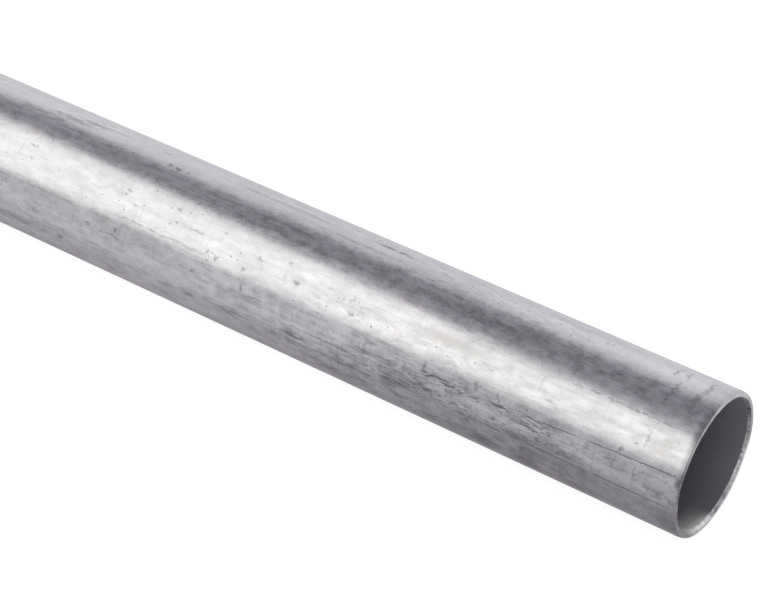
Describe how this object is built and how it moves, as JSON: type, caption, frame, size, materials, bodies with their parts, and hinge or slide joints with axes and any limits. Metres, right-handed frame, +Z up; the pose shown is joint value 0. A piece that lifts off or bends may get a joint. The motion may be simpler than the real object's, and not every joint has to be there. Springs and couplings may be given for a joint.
{
  "type": "electrical conduit pipe",
  "caption": "Full length of thin-walled galvanized steel electrical conduit with plain, reamed ends, an inside weld bead and a scarfed outside seam.",
  "frame": {"origin": "centre of the bore, halfway along the tube", "axes": "+X along the bore axis, towards the pictured mouth; +Z up, with the tube lying on a level floor; the seam faces -Y"},
  "size_m": [3.048, 0.0294, 0.0296],
  "materials": {
    "galvanized_steel": "bright zinc-coated steel, satin, with fine lengthwise drawing streaks"
  },
  "bodies": {
    "root": {"conduit_tube": "galvanized_steel"}
  },
  "joints": []
}
